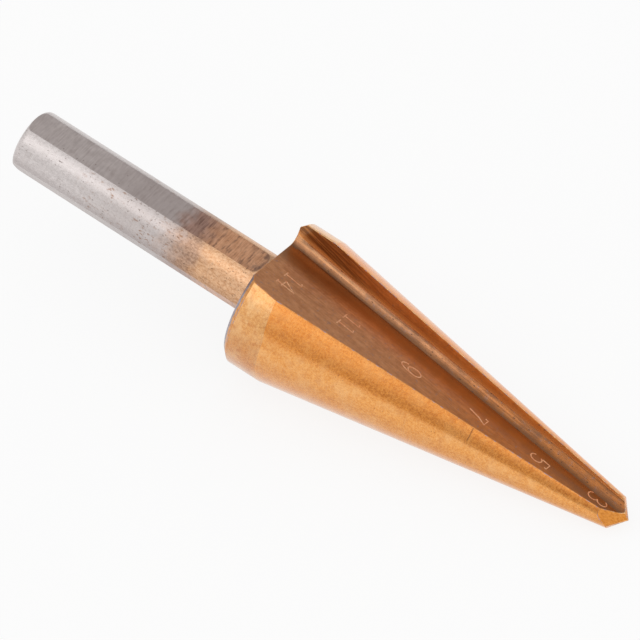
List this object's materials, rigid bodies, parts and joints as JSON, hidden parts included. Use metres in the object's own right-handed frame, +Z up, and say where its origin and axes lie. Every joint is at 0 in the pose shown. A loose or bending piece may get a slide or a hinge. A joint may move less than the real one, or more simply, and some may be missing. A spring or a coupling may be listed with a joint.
{
  "type": "conical sheet metal drill",
  "caption": "Tapered drill bit with a straight flute, a conical point and a flatted round shank, for cutting and widening round holes in thin sheet.",
  "frame": {"origin": "bottom centre of the bounding box, as the drill lies on its taper with its flute up", "axes": "+X from the shank to the point, +Z up; the drill's axis dips 9.5 degrees towards the point"},
  "size_m": [0.0624, 0.014, 0.0144],
  "materials": {
    "coated_tool_steel": "gold-coloured hard coat on the ground tapered body, bare grey ground steel on the shank, with straw heat tint between them"
  },
  "bodies": {
    "root": {"cone_drill": "coated_tool_steel"}
  },
  "joints": []
}
